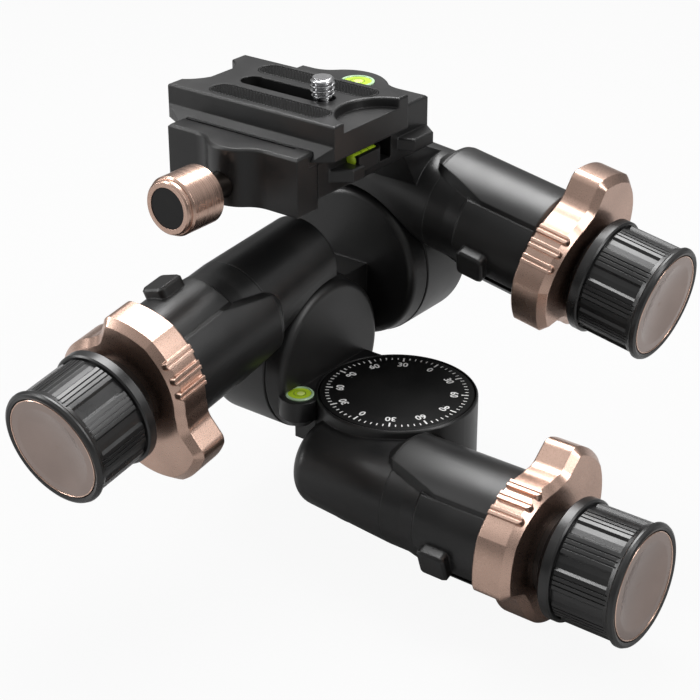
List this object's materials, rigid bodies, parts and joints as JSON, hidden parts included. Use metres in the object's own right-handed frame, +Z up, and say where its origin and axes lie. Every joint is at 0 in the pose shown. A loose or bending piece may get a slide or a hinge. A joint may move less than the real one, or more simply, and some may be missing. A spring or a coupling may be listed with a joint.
{
  "type": "geared tripod head",
  "caption": "Geared tripod head that pans, tilts and rolls a camera by worm-driven knobs, with a quick-release clamp and dovetail plate.",
  "frame": {"origin": "centre of the tripod socket, in the underside of the base", "axes": "+Z up along the pan axis, +X towards the pan knob, -Y towards the tilt knob"},
  "size_m": [0.1478, 0.1524, 0.1184],
  "materials": {
    "body_black": "fine-grained satin black anodising",
    "bronze": "champagne bronze anodising, brushed",
    "knob_black": "satin black anodising, turned and ribbed",
    "inlay_taupe": "satin taupe",
    "dial_black": "satin black with white marks",
    "steel": "turned",
    "dark_steel": "blackened, turned",
    "spring_steel": "bright wire",
    "bronze_bush": "sintered bronze",
    "wheel_brass": "machined",
    "level_green": "clear lime window",
    "pad_rubber": "fine diamond texture",
    "cap_black": "matt"
  },
  "bodies": {
    "base": {"base_plate": "body_black", "base_screws": "steel", "tripod_bush": "steel", "pan_spindle": "steel", "pan_wheel": "wheel_brass", "pan_dial": "dial_black"},
    "pan_body": {"pan_housing": "body_black", "pan_bush": "bronze_bush", "tilt_flange": "body_black", "body_level_vial": "level_green", "tilt_axle": "steel", "tilt_axle_nut": "steel", "tilt_wheel": "wheel_brass", "pan_sleeve": "body_black", "pan_worm_bushes": "bronze_bush", "pan_ring_spring": "spring_steel"},
    "tilt_body": {"tilt_housing": "body_black", "tilt_bush": "bronze_bush", "tilt_cover": "body_black", "roll_flange": "body_black", "roll_axle": "steel", "roll_axle_nut": "steel", "roll_wheel": "wheel_brass", "tilt_sleeve": "body_black", "tilt_worm_bushes": "bronze_bush", "tilt_ring_spring": "spring_steel"},
    "roll_body": {"roll_housing": "body_black", "roll_bush": "bronze_bush", "roll_cover": "body_black", "clamp_base": "body_black", "clamp_screws": "steel", "round_level_vial": "level_green", "side_level_vial": "level_green", "roll_sleeve": "body_black", "roll_worm_bushes": "bronze_bush", "roll_ring_spring": "spring_steel"},
    "jaw": {"clamp_jaw": "body_black", "guide_pins": "steel"},
    "clamp_knob": {"clamp_shaft": "dark_steel", "clamp_knob": "bronze", "clamp_knob_cap": "cap_black"},
    "plate": {"quick_release_plate": "body_black", "grip_pads": "pad_rubber"},
    "camera_screw": {"camera_screw": "steel"},
    "pan_knob": {"pan_worm_shaft": "steel", "pan_knob_grip": "knob_black", "pan_knob_inlay": "inlay_taupe"},
    "pan_ring": {"pan_release_ring": "bronze"},
    "tilt_knob": {"tilt_worm_shaft": "steel", "tilt_knob_grip": "knob_black", "tilt_knob_inlay": "inlay_taupe"},
    "tilt_ring": {"tilt_release_ring": "bronze"},
    "roll_knob": {"roll_worm_shaft": "steel", "roll_knob_grip": "knob_black", "roll_knob_inlay": "inlay_taupe"},
    "roll_ring": {"roll_release_ring": "bronze"}
  },
  "joints": [
    {"name": "pan", "type": "hinge", "parent": "base", "child": "pan_body", "pos_m": [0, 0, 0.0148], "axis": [0, 0, 1], "continuous": true},
    {"name": "tilt", "type": "hinge", "parent": "pan_body", "child": "tilt_body", "pos_m": [-0.0342, 0, 0.0338], "axis": [1, 0, 0], "range_deg": [-30, 40]},
    {"name": "roll", "type": "hinge", "parent": "tilt_body", "child": "roll_body", "pos_m": [-0.0342, 0.0372, 0.049], "axis": [0, 1, 0], "range_deg": [-90, 30]},
    {"name": "pan_knob_turn", "type": "hinge", "parent": "pan_body", "child": "pan_knob", "pos_m": [0.0853, -0.019, 0.0148], "axis": [1, 0, 0], "continuous": true},
    {"name": "pan_release", "type": "hinge", "parent": "pan_body", "child": "pan_ring", "pos_m": [0.0853, -0.019, 0.0148], "axis": [1, 0, 0], "range_deg": [0, 30], "stiffness_Nm_per_rad": 0.05},
    {"name": "tilt_knob_turn", "type": "hinge", "parent": "tilt_body", "child": "tilt_knob", "pos_m": [-0.0342, -0.0902, 0.04204], "axis": [0, -0.9848, -0.1736], "range_deg": [-1200, 1600]},
    {"name": "tilt_release", "type": "hinge", "parent": "tilt_body", "child": "tilt_ring", "pos_m": [-0.0342, -0.0902, 0.04204], "axis": [0, -0.9848, -0.1736], "range_deg": [0, 30], "stiffness_Nm_per_rad": 0.05},
    {"name": "roll_knob_turn", "type": "hinge", "parent": "roll_body", "child": "roll_knob", "pos_m": [0.05659, 0.0372, 0.05714], "axis": [0.9848, 0, -0.1736], "range_deg": [-3600, 1200]},
    {"name": "roll_release", "type": "hinge", "parent": "roll_body", "child": "roll_ring", "pos_m": [0.05659, 0.0372, 0.05714], "axis": [0.9848, 0, -0.1736], "range_deg": [0, 30], "stiffness_Nm_per_rad": 0.05},
    {"name": "clamp_knob_turn", "type": "hinge", "parent": "jaw", "child": "clamp_knob", "pos_m": [-0.0342, -0.0473, 0.0887], "axis": [0, -1, 0], "range_deg": [0, 1152]},
    {"name": "jaw_slide", "type": "slide", "parent": "roll_body", "child": "jaw", "axis": [0, -1, 0], "range_m": [0, 0.004]},
    {"name": "plate_slide", "type": "slide", "parent": "roll_body", "child": "plate", "axis": [1, 0, 0], "range_m": [-0.015, 0.015]},
    {"name": "screw_turn", "type": "hinge", "parent": "plate", "child": "camera_screw", "pos_m": [-0.024, 0, 0.098], "axis": [0, 0, 1], "continuous": true}
  ],
  "couplings": [
    {"joint": "pan_knob_turn", "follows": "pan", "ratio": 30},
    {"joint": "tilt_knob_turn", "follows": "tilt", "ratio": 40},
    {"joint": "roll_knob_turn", "follows": "roll", "ratio": 40},
    {"joint": "clamp_knob_turn", "follows": "jaw_slide", "rad_per_m": 5026.5}
  ]
}
